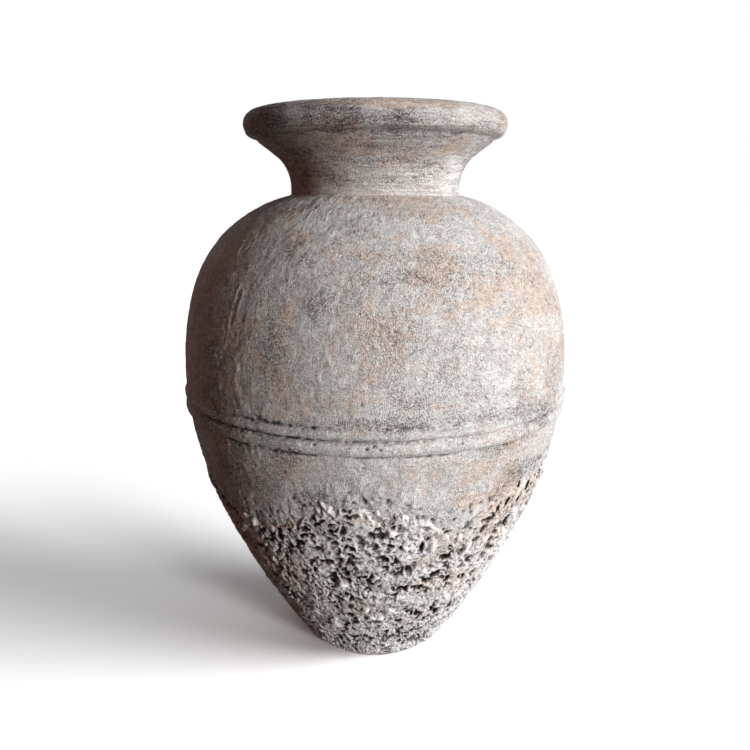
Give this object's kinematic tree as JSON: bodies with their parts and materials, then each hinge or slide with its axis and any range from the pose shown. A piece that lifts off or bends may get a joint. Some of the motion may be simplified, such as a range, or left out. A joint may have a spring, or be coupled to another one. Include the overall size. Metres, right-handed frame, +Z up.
{
  "type": "storage jar",
  "caption": "Broad-shouldered hand-built clay storage jar with a flared rolled rim, a corded belly and a rough pitted crust over its tapering lower wall.",
  "frame": {"origin": "middle of the underside of the base slab, on the surface that the jar stands on", "axes": "+Z up along the jar's axis of revolution, -Y towards the viewer of the picture, +X to the right"},
  "size_m": [0.3796, 0.3796, 0.536],
  "materials": {
    "wall_clay": "lime-washed gritty earthenware, matte",
    "rim_clay": "wheel-streaked lime-washed earthenware, matte",
    "cordon_clay": "rolled and pressed earthenware, matte",
    "crust_clay": "rough pitted clay and lime crust, matte",
    "joint_slip": "fired clay slip, matte"
  },
  "bodies": {
    "root": {"base_slab": "wall_clay", "neck_collar": "rim_clay", "rim_roll": "rim_clay", "lower_wall_course": "wall_clay", "belly_wall_course": "wall_clay", "upper_wall_course": "wall_clay", "shoulder_wall_course": "wall_clay", "lower_cordon": "cordon_clay", "upper_cordon": "cordon_clay", "crust_coat": "crust_clay", "base_joint_slip": "joint_slip", "lower_joint_slip": "joint_slip", "belly_joint_slip": "joint_slip", "upper_joint_slip": "joint_slip", "neck_joint_slip": "joint_slip", "rim_joint_slip": "joint_slip"}
  },
  "joints": []
}
